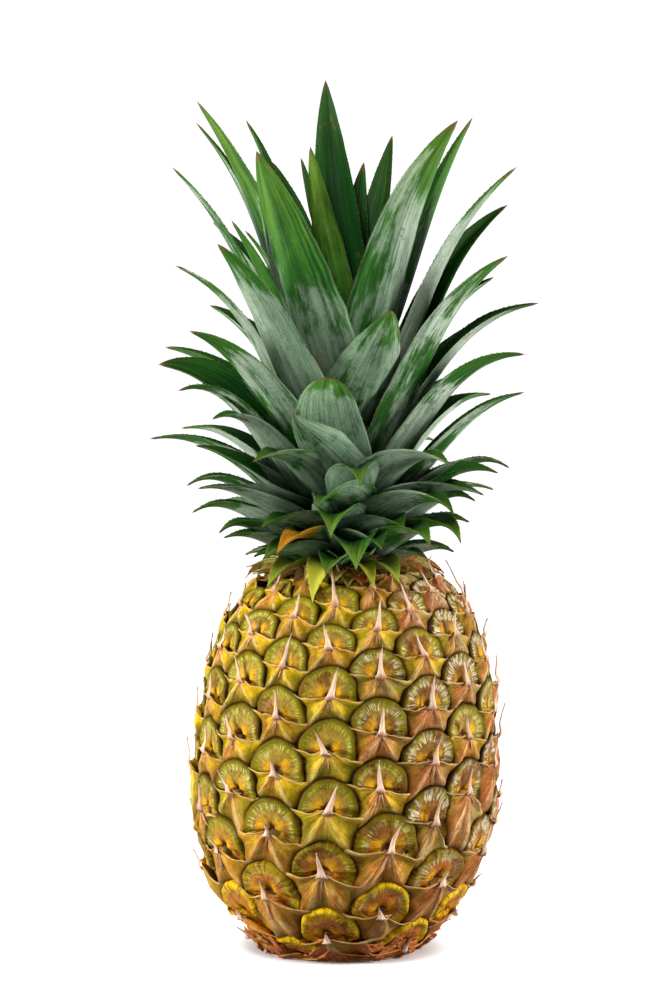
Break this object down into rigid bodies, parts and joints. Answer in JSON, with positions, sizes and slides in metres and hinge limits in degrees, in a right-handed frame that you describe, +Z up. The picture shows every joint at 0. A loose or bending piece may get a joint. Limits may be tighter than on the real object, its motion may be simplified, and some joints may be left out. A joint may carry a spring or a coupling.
{
  "type": "pineapple",
  "caption": "Whole ripe pineapple: barrel-shaped fruit of spiral eyes with dry bracts and spines, standing on its cut base under a tall leafy crown.",
  "frame": {"origin": "middle of the flat cut base, on the surface the fruit stands on", "axes": "+Z up along the fruit and crown, -Y towards the front that shows the broad grey-green leaves, +X to the right of that front"},
  "size_m": [0.155, 0.1339, 0.349],
  "materials": {
    "fruit": "rough grown rind, yellow-orange and olive green with dry tan bracts; matte_plastic stands in for plant matter",
    "crown": "leathery leaf, grey-green bloom outside and dark glossy green inside; matte_plastic stands in for plant matter"
  },
  "bodies": {
    "root": {"fruit": "fruit", "crown": "crown"}
  },
  "joints": []
}
